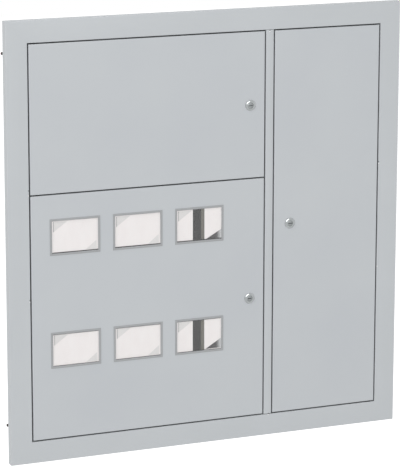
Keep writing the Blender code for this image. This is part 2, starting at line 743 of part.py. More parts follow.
def terminal_bar(name, paint, from_wall):
    """Brass terminal bar that lies in the groove of a plastic holder."""
    x = POST_X - from_wall
    z = (MID_Z + INNER_Z) / 2
    half = HOLDER_SIDE / 2
    groove = BAR_SIDE / 2 + CLEAR
    front = CASE_REAR - HOLDER_TALL
    floor = front + HOLDER_GRIP
    outline = [(x - half, CASE_REAR), (x - half, front), (x - groove, front), (x - groove, floor),
               (x + groove, floor), (x + groove, front), (x + half, front), (x + half, CASE_REAR)]
    outline = [(spot, at(depth)) for spot, depth in outline]
    long = BAR_LONG / 2 + HOLDER_END
    prism(name + "_holder", outline, "Z", z - long, z + long, paint)
    rear = floor - CLEAR
    low = (x - BAR_SIDE / 2, at(rear - BAR_SIDE), z - BAR_LONG / 2)
    high = (x + BAR_SIDE / 2, at(rear), z + BAR_LONG / 2)
    bar = block(name + "_bar", low, high, "brass")
    rods = []
    for hole in range(BAR_HOLES):
        spot = z + ((2 * hole + 1) / BAR_HOLES - 1) * BAR_LONG / 2
        mouth = rear - BAR_SIDE
        rods.append(((x, spot), "Y", BAR_HOLE_R, at(mouth - OVER), at(mouth + BAR_HOLE_DEEP), HOLE_STEPS))
    cut(bar, rods=rods)


def main():
    """Build the board."""
    clear_scene()
    front_frame()
    door_post()
    casing()
    end_plate("top_plate", 1)
    end_plate("bottom_plate", -1)
    compartment_wall()
    meter_shelf()
    for key in door_spans():
        door(key)
        lock(key)
    for number, (x, z) in enumerate(window_centres(), start=1):
        window(number, x, z)
    edge_pin("hinge_pin_upper", PIVOT_LEFT, 1)
    edge_pin("hinge_pin_meter", PIVOT_LEFT, -1)
    edge_pin("hinge_pin_service_top", PIVOT_RIGHT, 1)
    edge_pin("hinge_pin_service_bottom", PIVOT_RIGHT, -1)
    centre_hinge()
    wall_ties()
    breaker_rails()
    meter_plates()
    service_plate()
    terminal_bar("neutral", "blue plastic", BAR_FROM_WALL[0])
    terminal_bar("earth", "green plastic", BAR_FROM_WALL[1])


main()
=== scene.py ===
"""Flush mounted storey distribution board: its looks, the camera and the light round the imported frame.

Lengths are metres in the frame of the CAD: X to the right, Y into the wall, Z up. A depth is
measured from the front plane towards the wall. New pieces are grids of points worked out with
numpy: a section carried round a rectangle, a profile turned round an axis, or a pierced sheet.
"""
import math

import bmesh
import bpy
import numpy as np
from mathutils import Matrix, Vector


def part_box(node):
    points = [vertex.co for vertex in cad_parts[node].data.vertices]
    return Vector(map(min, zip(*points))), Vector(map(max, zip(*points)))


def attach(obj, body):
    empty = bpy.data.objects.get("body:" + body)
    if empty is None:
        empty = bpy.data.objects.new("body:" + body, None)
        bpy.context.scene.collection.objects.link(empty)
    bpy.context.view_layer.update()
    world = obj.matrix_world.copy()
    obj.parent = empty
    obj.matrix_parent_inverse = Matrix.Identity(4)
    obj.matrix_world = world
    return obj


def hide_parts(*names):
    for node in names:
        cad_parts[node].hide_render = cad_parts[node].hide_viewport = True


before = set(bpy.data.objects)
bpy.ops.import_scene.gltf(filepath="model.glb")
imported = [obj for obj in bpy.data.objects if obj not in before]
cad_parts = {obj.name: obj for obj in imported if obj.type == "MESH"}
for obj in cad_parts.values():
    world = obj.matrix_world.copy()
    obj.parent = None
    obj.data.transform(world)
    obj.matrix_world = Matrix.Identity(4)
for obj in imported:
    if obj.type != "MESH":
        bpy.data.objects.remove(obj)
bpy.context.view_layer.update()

# Sizes of the real board, as the CAD has them
BOARD_W = 0.950
BOARD_H = 1.000
BOARD_D = 0.140
SHEET = 0.0012
BEND_IN = 0.0003
BORDER = 0.0495
RIM_DEEP = 0.020
STOP_DEEP = 0.022
LIP = 0.014
DOOR_DEEP = 0.0115
FRAME_LOW = (-BOARD_W / 2, -BOARD_H / 2)
FRAME_HIGH = (BOARD_W / 2, BOARD_H / 2)
INNER_X = BOARD_W / 2 - BORDER
INNER_Z = BOARD_H / 2 - BORDER

# Depths between which the painted shade of the door gaps comes in, and between which it goes out again
RECESS_DEPTHS = ((0.0015, 0.0025), (0.0270, 0.0245))

# Room between two faces that would otherwise lie in one plane
SKIN = 0.0003

# Smallest radius that a round corner keeps when it is inset
LEAST_CORNER_R = 0.0002

# Windows: how far the door's hole and the pane pass the clear light, and the rubber round it
WINDOW_CUT = 0.0023
PANE_HOLD = 0.0012
PANE_CORNER_R = 0.001
SEAL_LIP = 0.005
SEAL_FACE = 0.0009
SEAL_BACK = 0.0012
SEAL_WEB = 0.0005
SEAL_CORNER_R = 0.0009

# Locks. The ring's crown is an arc whose centre lies RING_DOME_OUT off the lock's axis
LOCK_STEPS = 96
RING_R = 0.0123
RING_PROUD = 0.0027
RING_DOME_R = 0.0110
RING_DOME_OUT = 0.0060
RING_LIP = 0.0003
BARREL_R = 0.00925
BARREL_END = 0.0215
PLUG_R = 0.0063
PLUG_PROUD = 0.0018
PLUG_ROOM = 0.00012
PLUG_EASE = 0.0006
PLUG_END = 0.022
SQUARE_HALF = 0.0035
SQUARE_END = 0.0248
KEY_SLOT_HALF = (0.0042, 0.00105)
KEY_SLOT_DEEP = 0.0045
KEY_SLOT_EASE = 0.0004

# Films behind the panes, as the photograph shows them: depths, and sizes on the glass.
# Pairs of DARK_CORNERS and FILM_GAPS are for the upper and the lower row of windows. SHADE_RUN
# is where, in X, the dark corner's painted shade starts to turn pale and where it ends.
# The dark sheets paint shade inside the board: at the windows' feet, in the slit strips and in the dark
# corner
FILM_FRONT = 0.00122
FILM_THICK = 0.00003
FILM_STEP = 0.00004
FILM_HOLD = PANE_HOLD * 0.9
FILM_INSET_X = 0.0038
FILM_INSET_Z = 0.0018
# The white sheet paints a reflection band on the panes; the grey corners are the glass outside the band
UPPER_CORNER = (0.033, 0.023)
LOWER_CORNER = (0.027, 0.021)
DARK_CORNERS = ((0.0378, 0.0243), (0.0420, 0.0270))
FILM_FOOT = 0.0022
FILM_GAPS = ((0.0020, 0.0), (0.0008, 0.0012))
FOLD_WIDE = 0.0012
SLIT_START = 0.0385
SLIT_STEP = 0.0200
SLIT_END = 0.0283
SHADE_RUN = (0.0180, 0.0340)

# Dots beside the door gaps and at the post: dark ones of painted shade and white ones of painted highlight
SHADE_DOT_R = 0.0010
HIGHLIGHT_DOT_R = 0.0012
END_HIGH = 0.0005
END_DEEP = 0.0008
END_IN_LEFT = 0.0013
END_IN_RIGHT = 0.0009
LEFT_SHADE_DOT_Z = (0.1245, -0.1227)
RIGHT_SHADE_DOT_Z = (0.1277,)
LEFT_HIGHLIGHT_DOT_Z = (0.1133, -0.1275)
RIGHT_HIGHLIGHT_DOT_Z = (0.1231, -0.1221)
POST_TOP_X = -0.0006
POST_FOOT_X = 0.0018
POST_TOP_SHADE_DOT = 0.0012
POST_TOP_HIGHLIGHT_DOT = 0.0040
POST_FOOT_SHADE_DOT = 0.0008
POST_FOOT_HIGHLIGHT_DOT = 0.0016
POST_SHORT = 0.0010

# Screws and studs inside
SCREW_R = 0.0045
SCREW_RISE = 0.0026
CLAMP_R = 0.0024
CLAMP_RISE = 0.0011
BAR_HOLES = 8
UPRIGHT_FLANGE = 0.020
UPRIGHT_T = 0.0015
RAIL_T = 0.0010
PLATE_SCREW_IN = 0.012
STUD_R = 0.003
STUD_PITCH = 0.001
STUD_LONG = 0.014
STUD_IN = 0.034
STUD_ROOM = 0.0001
WASHER_BORE_R = 0.00324
WASHER_R = 0.006
WASHER_T = 0.0016
NUT_BORE_R = 0.00312
NUT_HALF = 0.00501
NUT_T = 0.0051
TIE_R = 0.0035
TIE_HEAD = 0.004
TIE_EASE = 0.0005
TIE_ROUND = 0.0012
TIE_PITCH = 0.00125

# Spot welds where the inner sheets join the casing
WELD_R = 0.0035
WELD_RISE = 0.0003
WELD_STEP = 0.115
WELD_END = 0.035
END_FLANGE = 0.016

# Camera, worked out from the edges and the door gaps in the photograph. Angles are degrees.
# VIEW_AXIS is where the lens axis meets the picture, in pixels right and down from its centre.
VIEW_AZIMUTH = -22.762
VIEW_HEIGHT = 12.087
VIEW_ROLL = 0.190
VIEW_DISTANCE = 5.636
VIEW_SHIFT = (0.03257, 0.06561)
VIEW_AXIS = (22.98, -31.60)
FOCAL_PIXELS = 2488.8
IMAGE_LONG = 466
SENSOR_MM = 36.0
VIEW_RANGE = (0.05, 50)

# Light and backdrop: name, place, aim, long side, short side, watts and roll of each soft box
LAMPS = (("key_lamp", (-0.30, -4.6, 1.85), (0, -BOARD_D, 0.1), 3.4, 1.05, 58, 34.0),
         ("edge_lamp", (-4.6, -1.2, 4.5), (0, -BOARD_D, 0), 3.0, 3.0, 120, 0.0))
WORLD_LIGHT = 0.60
FLOOR_LEVEL = -1.25
FLOOR_REACH = 12.0
FLOOR_GLOW = 0.6

# Mesh work: corners nearer than MERGE are one, and an edge sharper than EASE_ANGLE is eased
MERGE = 0.000004
EASE_ANGLE = 40


def at(depth):
    """The y of a depth behind the front plane."""
    return depth - BOARD_D


# Shapes

def grid_faces(rows, columns, close_rows, close_columns):
    """Corner numbers of every quad of a grid of points, which may close on itself either way."""
    row = np.arange(rows if close_rows else rows - 1)[:, None]
    column = np.arange(columns if close_columns else columns - 1)[None, :]
    below = (row + 1) % rows
    beside = (column + 1) % columns
    corners = (row * columns + column, row * columns + beside,
               below * columns + beside, below * columns + column)
    return np.stack(corners, axis=-1).reshape(-1, 4)


def shell(points, close_rows=False, close_columns=True, caps=False):
    """A surface from a grid of points, with flat ends where it asks for caps."""
    rows, columns = points.shape[:2]
    faces = grid_faces(rows, columns, close_rows, close_columns).tolist()
    if caps:
        faces.append(list(range(columns)))
        faces.append(list(range((rows - 1) * columns, rows * columns)))
    return points.reshape(-1, 3), faces


def fold_line(corners, radius, steps):
    """Centre line of a folded sheet: straight runs joined by arcs of one radius.

    Each arc is centred on the bisector of its corner, radius / sin(half the corner) from it, and
    turns evenly from the end of one run to the start of the next.
    """
    corners = np.asarray(corners, float)
    line = [corners[:1]]
    for before, corner, after in zip(corners, corners[1:], corners[2:]):
        into = (before - corner) / np.linalg.norm(before - corner)
        out = (after - corner) / np.linalg.norm(after - corner)
        half = math.acos(np.clip(into @ out, -1, 1)) / 2
        middle = corner + (into + out) / np.linalg.norm(into + out) * radius / math.sin(half)
        start = corner + into * radius / math.tan(half) - middle
        end = corner + out * radius / math.tan(half) - middle
        first = math.atan2(start[1], start[0])
        turn = math.remainder(math.atan2(end[1], end[0]) - first, 2 * math.pi)
        angle = first + turn * np.linspace(0, 1, steps + 1)
        line.append(middle + radius * np.column_stack((np.cos(angle), np.sin(angle))))
    line.append(corners[-1:])
    return np.vstack(line)


def fold_sides(corners, thick, steps=6):
    """Both faces of a folded sheet: the centre line moved half the thickness to either side."""
    line = fold_line(corners, thick / 2 + BEND_IN, steps)
    run = np.diff(line, axis=0)
    run /= np.linalg.norm(run, axis=1, keepdims=True)
    before = np.vstack((run[:1], run))
    after = np.vstack((run, run[-1:]))
    along = before + after
    along /= np.linalg.norm(along, axis=1, keepdims=True)
    across = np.column_stack((-along[:, 1], along[:, 0]))
    across *= thick / 2 / np.sum(along * after, axis=1, keepdims=True)
    return line + across, line - across


def round_rectangle(low, high, radius, steps):
    """Outline of a rectangle with round corners, anticlockwise from the right side's foot.

    Corner k is centred one radius inside the rectangle's corner, and its arc covers a quarter turn.
    """
    quarter = np.linspace(0, math.pi / 2, steps + 1)
    centre_x = np.repeat([high[0] - radius, low[0] + radius, low[0] + radius, high[0] - radius], steps + 1)
    centre_z = np.repeat([high[1] - radius, high[1] - radius, low[1] + radius, low[1] + radius], steps + 1)
    angle = (quarter[None, :] + math.pi / 2 * np.arange(4)[:, None]).reshape(-1)
    return np.column_stack((centre_x + radius * np.cos(angle), centre_z + radius * np.sin(angle)))


def carried_round(section, low, high, radius=0.0, steps=0):
    """A section of (inset, depth) carried round a rectangle.

    Every outline point moves towards the middle by the inset: along both axes in a square corner,
    or along the corner's own radius where the corners are round.
    """
    loops = []
    for inset, depth in section:
        inner_low = (low[0] + inset, low[1] + inset)
        inner_high = (high[0] - inset, high[1] - inset)
        corner = max(radius - inset, LEAST_CORNER_R) if radius else 0.0
        outline = round_rectangle(inner_low, inner_high, corner, steps)
        loops.append(np.column_stack((outline[:, 0], np.full(len(outline), at(depth)), outline[:, 1])))
    return np.array(loops)


def on_axis(along, a, b, centre, axis):
    """Points at distances along an axis through the centre, with two offsets across it."""
    order = {"X": (along, a, b), "Y": (a, along, b)}[axis]
    return np.stack(order, axis=-1) + np.asarray(centre, float)


def turned(profile, centre, axis="Y", steps=24):
    """A profile of (radius, distance) turned round an axis: radius times cosine and sine of the turn."""
    profile = np.asarray(profile, float)
    turn = 2 * math.pi * np.arange(steps) / steps
    a = profile[:, :1] * np.cos(turn)
    b = profile[:, :1] * np.sin(turn)
    return on_axis(np.repeat(profile[:, 1:], steps, axis=1), a, b, centre, axis)


def dome(radius, rise, steps=6):
    """Profile of a low dome towards the front: a quarter ellipse from its rim to nearly its top."""
    lean = np.linspace(0, math.pi / 2 * 0.96, steps)
    return np.column_stack((radius * np.cos(lean), -rise * np.sin(lean)))


def pierced_tray(low, high, front, deep, thick, holes):
    """A folded tray whose face has rectangular holes.

    The flange and its bend are one section carried round the outline. The outline has a point
    wherever a hole's edge lies, clipped to each inset rectangle. The face is a grid of cells
    between the same edges, on two levels, with the cells in a hole left out and walled round.
    """
    bend = thick + BEND_IN
    half = thick / 2
    one, other = fold_sides(((half, front + deep), (half, front + half), (bend * 3, front + half)), thick)
    section = np.vstack((one[::-1], other))
    inset = section[0, 0]
    breaks_x = sorted({low[0] + inset, high[0] - inset, *(x for hole in holes for x in (hole[0], hole[2]))})
    breaks_z = sorted({low[1] + inset, high[1] - inset, *(z for hole in holes for z in (hole[1], hole[3]))})
    xs = np.array(breaks_x)
    zs = np.array(breaks_z)
    inner_x = xs[1:-1]
    inner_z = zs[1:-1]
    path_x = np.concatenate(([low[0]], inner_x, [high[0]], np.full(len(inner_z), high[0]), [high[0]],
                             inner_x[::-1], [low[0]], np.full(len(inner_z), low[0])))
    path_z = np.concatenate(([low[1]], np.full(len(inner_x), low[1]), [low[1]], inner_z, [high[1]],
                             np.full(len(inner_x), high[1]), [high[1]], inner_z[::-1]))
    step_in = section[:, :1]
    rim_x = np.clip(path_x[None, :], low[0] + step_in, high[0] - step_in)
    rim_z = np.clip(path_z[None, :], low[1] + step_in, high[1] - step_in)
    rim_y = np.repeat(at(section[:, 1:]), len(path_x), axis=1)
    shells = [shell(np.stack((rim_x, rim_y, rim_z), axis=-1))]

    middle_x = (xs[:-1] + xs[1:]) / 2
    middle_z = (zs[:-1] + zs[1:]) / 2
    solid = np.ones((len(middle_x), len(middle_z)), bool)
    for left, bottom, right, top in holes:
        across = (middle_x > left) & (middle_x < right)
        upwards = (middle_z > bottom) & (middle_z < top)
        solid &= ~(across[:, None] & upwards[None, :])
    grid_x, grid_z = np.meshgrid(xs, zs, indexing="ij")
    levels = []
    for depth in (front, front + thick):
        levels.append(np.stack((grid_x, np.full(grid_x.shape, at(depth)), grid_z), axis=-1).reshape(-1, 3))
    points = np.vstack(levels)
    count = len(xs) * len(zs)
    number = np.arange(count).reshape(len(xs), len(zs))
    cell = np.stack((number[:-1, :-1], number[1:, :-1], number[1:, 1:], number[:-1, 1:]), axis=-1)[solid]
    faces = [cell, cell[:, ::-1] + count]
    edge_x = np.diff(solid.astype(int), axis=0) != 0
    wall = np.stack((number[1:-1, :-1], number[1:-1, 1:]), axis=-1)[edge_x]
    faces.append(np.column_stack((wall, wall[:, ::-1] + count)))
    edge_z = np.diff(solid.astype(int), axis=1) != 0
    wall = np.stack((number[:-1, 1:-1], number[1:, 1:-1]), axis=-1)[edge_z]
    faces.append(np.column_stack((wall, wall[:, ::-1] + count)))
    shells.append((points, np.vstack(faces).tolist()))
    return shells


def slab(outline, front, rear):
    """A flat sheet of any outline between two depths."""
    outline = np.asarray(outline, float)
    loops = [np.column_stack((outline[:, 0], np.full(len(outline), at(depth)), outline[:, 1]))
             for depth in (front, rear)]
    return [shell(np.array(loops), caps=True)]


def thread(radius, pitch, depth, start, end, centre, axis, steps=24):
    """A threaded rod: the radius drops by a triangle wave of distance / pitch minus turn."""
    rows = int(abs(end - start) / pitch * 6) + 1
    along = np.linspace(start, end, rows)[:, None]
    turn = 2 * math.pi * np.arange(steps)[None, :] / steps
    phase = (along / pitch - turn / (2 * math.pi)) % 1
    reach = radius - depth * np.abs(2 * phase - 1)
    reach[[0, -1]] *= 0.9
    a = reach * np.cos(turn)
    b = reach * np.sin(turn)
    return shell(on_axis(np.repeat(along, steps, axis=1), a, b, centre, axis), caps=True)


def screw_head(radius, rise, centre, steps=48):
    """A pan head that faces the front, with a cross recess.

    The recess reaches, at each turn, the farther of two bars: the smaller of arm / |cos| and
    half / |sin|, or the same with the sine and the cosine swapped. Outside it come round rows
    whose height falls towards the rim.
    """
    turn = 2 * math.pi * (np.arange(steps) + 0.5) / steps
    c, d = np.abs(np.cos(turn)), np.abs(np.sin(turn))
    arm, half = radius * 0.56, radius * 0.14
    cross = np.maximum(np.minimum(arm / c, half / d), np.minimum(arm / d, half / c))
    reach = np.vstack((cross * 0.75, cross, np.outer((0.66, 0.86, 0.97, 1.0, 1.0), np.full(steps, radius))))
    height = np.array((0.35, 0.97, 0.92, 0.72, 0.42, 0.1, -0.1)) * rise
    depth = -np.repeat(height[:, None], steps, axis=1)
    points = np.stack((reach * np.cos(turn), depth, reach * np.sin(turn)), axis=-1)
    return shell(points + np.asarray(centre, float), caps=True)


def nut_ring(half, bore, near, far, centre, steps=48):
    """A hexagon nut along Y: half / cos of the turn from the nearest flat's middle, corners cut."""
    turn = 2 * math.pi * np.arange(steps) / steps
    flat = half / np.cos((turn + math.pi / 6) % (math.pi / 3) - math.pi / 6)
    round_end = np.minimum(flat, half * 1.06)
    ease = half * 0.12
    rows = ((bore, near), (round_end, near), (flat, near + ease),
            (flat, far - ease), (round_end, far), (bore, far))
    points = np.stack([np.column_stack((reach * np.cos(turn), np.full(steps, depth), reach * np.sin(turn)))
                       for reach, depth in rows])
    return shell(points + np.asarray(centre, float), close_rows=True)


def earth_stud(x, z, sheet):
    """A threaded stud welded to a sheet, with its washer and nut, pointing into the board."""
    centre = (x, at(sheet), z)
    ring = ((WASHER_BORE_R, 0.0), (WASHER_R, 0.0), (WASHER_R, WASHER_T), (WASHER_BORE_R, WASHER_T))
    washer = turned(ring, centre, steps=32)
    return [thread(STUD_R, STUD_PITCH, STUD_PITCH * 0.4, -STUD_ROOM, STUD_LONG, centre, "Y"),
            shell(washer, close_rows=True),
            nut_ring(NUT_HALF, NUT_BORE_R, WASHER_T + STUD_ROOM, WASHER_T + NUT_T, centre)]


# Putting a piece into the scene

def piece(name, shells, body, finish, replaces=(), sharp=32.0, crisp=0.0):
    """One mesh from shells of points and faces: doubles merged, faces turned outwards, edges eased."""
    points = []
    faces = []
    start = 0
    for shell_points, shell_faces in shells:
        points.append(shell_points)
        faces += [[number + start for number in face] for face in shell_faces]
        start += len(shell_points)
    mesh = bpy.data.meshes.new(name)
    mesh.from_pydata(np.vstack(points).tolist(), [], faces)
    return finish_mesh(name, mesh, body, finish, replaces, sharp, crisp)


def finish_mesh(name, mesh, body, finish, replaces, sharp, crisp, closed=True):
    """Merge, turn outwards, shade, ease the sharp edges and let the piece ride on its body."""
    work = bmesh.new()
    work.from_mesh(mesh)
    bmesh.ops.remove_doubles(work, verts=work.verts, dist=MERGE)
    if closed:
        bmesh.ops.recalc_face_normals(work, faces=work.faces)
    work.to_mesh(mesh)
    work.free()
    mesh.shade_smooth()
    mesh.set_sharp_from_angle(angle=math.radians(sharp))
    mesh.materials.clear()
    mesh.materials.append(finish)
    made = bpy.data.objects.new(name, mesh)
    bpy.context.scene.collection.objects.link(made)
    if crisp:
        ease = made.modifiers.new("eased_edges", "BEVEL")
        ease.width = crisp
        ease.segments = 2
        ease.limit_method = "ANGLE"
        ease.angle_limit = math.radians(EASE_ANGLE)
        ease.harden_normals = True
    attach(made, body)
    if replaces:
        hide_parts(*replaces)
    return made


def refined(node, body, finish, crisp=0.00012):
    """A merged and eased copy of a CAD node, which it replaces."""
    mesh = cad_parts[node].data.copy()
    work = bmesh.new()
    work.from_mesh(mesh)
    bmesh.ops.remove_doubles(work, verts=work.verts, dist=MERGE)
    bmesh.ops.dissolve_limit(work, angle_limit=math.radians(1), verts=work.verts, edges=work.edges)
    work.to_mesh(mesh)
    work.free()
    return finish_mesh(node + "_eased", mesh, body, finish, (node,), 32.0, crisp, closed=False)


# Finishes

def linear(code):
    """An sRGB hex colour as linear red, green, blue and an alpha of one."""
    channels = [int(code[i:i + 2], 16) / 255 for i in (1, 3, 5)]
    return tuple(c / 12.92 if c <= 0.04045 else ((c + 0.055) / 1.055) ** 2.4 for c in channels) + (1.0,)


WHITE = linear("#FFFFFF")


def add(tree, kind, values=None, links=None, **settings):
    """Add a node with its settings, socket values and incoming links."""
    made = tree.nodes.new(kind)
    for key, value in settings.items():
        setattr(made, key, value)
    for socket, value in (values or {}).items():
        made.inputs[socket].default_value = value
    for socket, source in (links or {}).items():
        tree.links.new(source, made.inputs[socket])
    return made


def new_finish(name, **sockets):
    """A material with a Principled shader set to the given socket values."""
    made = bpy.data.materials.new(name)
    made.use_nodes = True
    tree = made.node_tree
    shader = tree.nodes["Principled BSDF"]
    for socket, value in sockets.items():
        shader.inputs[socket.replace("_", " ")].default_value = value
    return made, tree, shader


def grain(tree, millimetres, detail=2.0, stretch=None):
    """Noise on Object coordinates whose lumps are about the given number of millimetres across."""
    where = add(tree, "ShaderNodeTexCoord").outputs["Object"]
    if stretch:
        where = add(tree, "ShaderNodeMapping", {"Scale": stretch}, {"Vector": where}).outputs["Vector"]
    values = {"Scale": 1000.0 / millimetres, "Detail": detail, "Roughness": 0.5}
    return add(tree, "ShaderNodeTexNoise", values, {"Vector": where}).outputs["Fac"]


def dress(tree, shader, colour, rough, relief, span=(0.3, 0.7)):
    """Join patterns to a shader, each given as a pattern with the two values that it drives.

    The colour goes between two hex codes as its pattern goes over the span, and the roughness
    between two numbers as its own goes from 0.3 to 0.7. The relief has its height in millimetres
    and its strength.
    """
    pattern, *codes = colour
    ramp = add(tree, "ShaderNodeValToRGB", links={"Fac": pattern})
    for stop, place, code in zip(ramp.color_ramp.elements, span, codes):
        stop.position = place
        stop.color = linear(code)
    tree.links.new(ramp.outputs["Color"], shader.inputs["Base Color"])
    pattern, smooth, matt = rough
    values = {"From Min": 0.3, "From Max": 0.7, "To Min": smooth, "To Max": matt}
    gloss = add(tree, "ShaderNodeMapRange", values, {"Value": pattern})
    tree.links.new(gloss.outputs["Result"], shader.inputs["Roughness"])
    pattern, millimetres, strength = relief
    values = {"Strength": strength, "Distance": millimetres / 1000.0}
    bump = add(tree, "ShaderNodeBump", values, {"Height": pattern})
    tree.links.new(bump.outputs["Normal"], shader.inputs["Normal"])
    return ramp.outputs["Color"]


def ray_is(tree, *kinds):
    """One for the named kinds of ray, and zero for all others."""
    path = add(tree, "ShaderNodeLightPath").outputs
    share = path["Is %s Ray" % kinds[0]]
    for kind in kinds[1:]:
        links = {0: share, 1: path["Is %s Ray" % kind]}
        share = add(tree, "ShaderNodeMath", links=links, operation="MAXIMUM").outputs[0]
    return share


def recess(tree, half_x, half_z):
    """One where a surface lies in a door gap, where the coat takes painted shade: from the bends to the
    lip, inside the given half sizes.
    """
    where = add(tree, "ShaderNodeTexCoord").outputs["Object"]
    parts = add(tree, "ShaderNodeSeparateXYZ", links={"Vector": where}).outputs
    limits = []
    for start, end in RECESS_DEPTHS:
        values = {"From Min": at(start), "From Max": at(end)}
        limits.append(add(tree, "ShaderNodeMapRange", values, {"Value": parts["Y"]}).outputs[0])
    share = add(tree, "ShaderNodeMath", links=dict(enumerate(limits)), operation="MULTIPLY").outputs[0]
    for part, half in (("X", half_x), ("Z", half_z)):
        off = add(tree, "ShaderNodeMath", links={0: parts[part]}, operation="ABSOLUTE").outputs[0]
        inside = add(tree, "ShaderNodeMath", {1: half}, {0: off}, operation="LESS_THAN").outputs[0]
        share = add(tree, "ShaderNodeMath", links={0: share, 1: inside}, operation="MULTIPLY").outputs[0]
    return share


def powder_coat(name, low_code, high_code):
    """Polyester powder coat, sprayed and baked: light grey, satin, with a faint orange peel.

    Real orange peel has lumps of 1 to 2 mm. They are drawn 2.5 mm across, because a pixel of the
    render is wider than 2 mm, and a second cloud 180 mm across carries the coat's uneven build.
    In the door gaps the coat is darker: painted shade that deepens the shadow of the gaps.
    """
    made, tree, shader = new_finish(name, IOR=1.5)
    cloud = grain(tree, 180, detail=3.0)
    lumps = grain(tree, 2.5, detail=1.0)
    coat = dress(tree, shader, (cloud, low_code, high_code), (lumps, 0.40, 0.50), (lumps, 0.02, 0.6))
    # Painted shade: the coat turns darker inside the door gaps
    links = {"Factor": recess(tree, INNER_X + SHEET, INNER_Z + SHEET), "A": coat}
    gap_shade = add(tree, "ShaderNodeMix", {"B": linear("#A1A4A7")}, links, data_type="RGBA")
    tree.links.new(gap_shade.outputs["Result"], shader.inputs["Base Color"])
    return made


def galvanised():
    """Hot dip galvanised strip: zinc crystals 6 to 10 mm across that mirror light unevenly."""
    made, tree, shader = new_finish("galvanised_strip", Metallic=1.0)
    where = add(tree, "ShaderNodeTexCoord").outputs["Object"]
    crystals = add(tree, "ShaderNodeTexVoronoi", {"Scale": 1000.0 / 9}, {"Vector": where})
    tone = add(tree, "ShaderNodeSeparateColor", links={"Color": crystals.outputs["Color"]}).outputs["Red"]
    fine = grain(tree, 1.2)
    dress(tree, shader, (tone, "#A9ADB0", "#B5B9BB"), (tone, 0.36, 0.42), (fine, 0.01, 0.4), (0.0, 1.0))
    return made


def plated(name, low_code, high_code, smooth, rough):
    """Electroplated metal: an even metal skin whose gloss wavers with the polish under it."""
    made, tree, shader = new_finish(name, Metallic=1.0)
    fine = grain(tree, 0.8, detail=3.0)
    broad = grain(tree, 9.0)
    dress(tree, shader, (broad, low_code, high_code), (fine, smooth, rough), (fine, 0.004, 0.5))
    return made


def seal_rubber():
    """Extruded grey rubber section: matt, with a fine bloom and lengthways drag lines."""
    made, tree, shader = new_finish("extruded_grey_rubber", IOR=1.5, Specular_IOR_Level=0.35)
    bloom = grain(tree, 3.0, detail=3.0)
    drag = grain(tree, 0.6)
    dress(tree, shader, (bloom, "#A2A4A6", "#ACAEB0"), (bloom, 0.55, 0.7), (drag, 0.02, 0.5))
    return made


def clear_acrylic():
    """Cast acrylic sheet, polished on both faces, hardly tinted, with ripples 0.01 mm high.

    Light that falls through it towards what lies behind passes straight on.
    """
    made, tree, shader = new_finish("cast_clear_acrylic", Base_Color=WHITE, IOR=1.49,
                                    Transmission_Weight=1.0, Roughness=0.02)
    ripple = grain(tree, 40.0, detail=1.0)
    bump = add(tree, "ShaderNodeBump", {"Strength": 0.3, "Distance": 0.00001}, {"Height": ripple})
    tree.links.new(bump.outputs["Normal"], shader.inputs["Normal"])
    clear = add(tree, "ShaderNodeBsdfTransparent", {"Color": WHITE})
    lets_by = ray_is(tree, "Shadow", "Diffuse")
    mix = add(tree, "ShaderNodeMixShader", links={0: lets_by, 1: shader.outputs[0], 2: clear.outputs[0]})
    tree.links.new(mix.outputs[0], tree.nodes["Material Output"].inputs["Surface"])
    return made


def film(name, low_code, high_code, rough, sheen=0.5):
    """Thin polyethylene film behind a pane: satin, with shallow pulled wrinkles. The white, dark and dim
    films paint a reflection on the pane and shade behind it.
    """
    made, tree, shader = new_finish(name, IOR=1.5, Specular_IOR_Level=sheen)
    pulled = grain(tree, 14.0, detail=2.0, stretch=(1.0, 1.0, 0.35))
    dress(tree, shader, (pulled, low_code, high_code), (pulled, rough, rough + 0.08), (pulled, 0.03, 0.4))
    return made


def shade_ramp_film(name, dark_code, pale_code, start, end):
    """Film whose colour is painted shade that lightens towards the right, between two places in X."""
    made, tree, shader = new_finish(name, IOR=1.5, Roughness=0.5, Specular_IOR_Level=0.1)
    where = add(tree, "ShaderNodeTexCoord").outputs["Object"]
    across = add(tree, "ShaderNodeSeparateXYZ", links={"Vector": where}).outputs["X"]
    share = add(tree, "ShaderNodeMapRange", {"From Min": start, "From Max": end}, {"Value": across},
                interpolation_type="SMOOTHSTEP").outputs["Result"]
    ramp = add(tree, "ShaderNodeValToRGB", links={"Fac": share})
    for stop, code in zip(ramp.color_ramp.elements, (dark_code, pale_code)):
        stop.color = linear(code)
    tree.links.new(ramp.outputs["Color"], shader.inputs["Base Color"])
    return made


def moulded(name, low_code, high_code):
    """Injection moulded plastic with the fine sparked texture of its tool, about 0.5 mm across."""
    made, tree, shader = new_finish(name, IOR=1.53)
    spark = grain(tree, 0.5, detail=2.0)
    cloud = grain(tree, 25.0)
    dress(tree, shader, (cloud, low_code, high_code), (spark, 0.38, 0.50), (spark, 0.015, 0.6))
    return made


FRAME_COAT = powder_coat("powder_coated_frame_steel", "#C2C6C9", "#C5C9CC")
DOOR_COAT = powder_coat("powder_coated_door_steel", "#C2C6CA", "#C5C9CC")
CASE_COAT = powder_coat("powder_coated_casing_steel", "#B9BDC0", "#BFC3C5")
